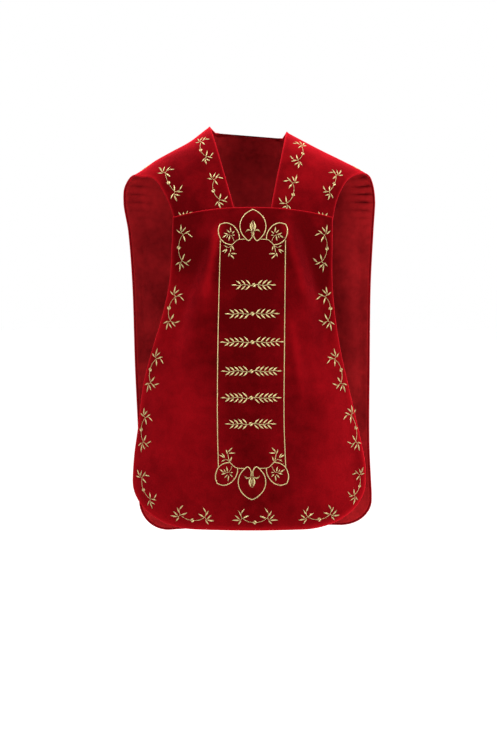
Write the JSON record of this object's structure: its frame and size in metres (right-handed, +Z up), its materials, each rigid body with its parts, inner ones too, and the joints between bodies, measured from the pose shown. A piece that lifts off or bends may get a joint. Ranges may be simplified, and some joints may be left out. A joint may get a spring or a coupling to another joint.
{
  "type": "roman chasuble",
  "caption": "Sleeveless red velvet vestment in worn form: fiddle-shaped front, wide back with shoulder wings, gold embroidered border and column.",
  "frame": {"origin": "mid neck, level with the neck-side edges that rest on the wearer's shoulders", "axes": "+Z up, +X to the viewer's right as the front is seen, +Y from the front panel to the back panel"},
  "size_m": [0.642, 0.3218, 1.0354],
  "materials": {
    "velvet": "crimson cotton velvet, darker seen square on, with a bright nap at grazing angles",
    "lining": "smooth brick-red lining with a slight sheen",
    "gold_thread": "raised satin stitch in pale gold thread"
  },
  "bodies": {
    "root": {"back_panel": "velvet", "back_lining": "lining", "front_panel": "velvet"}
  },
  "joints": []
}
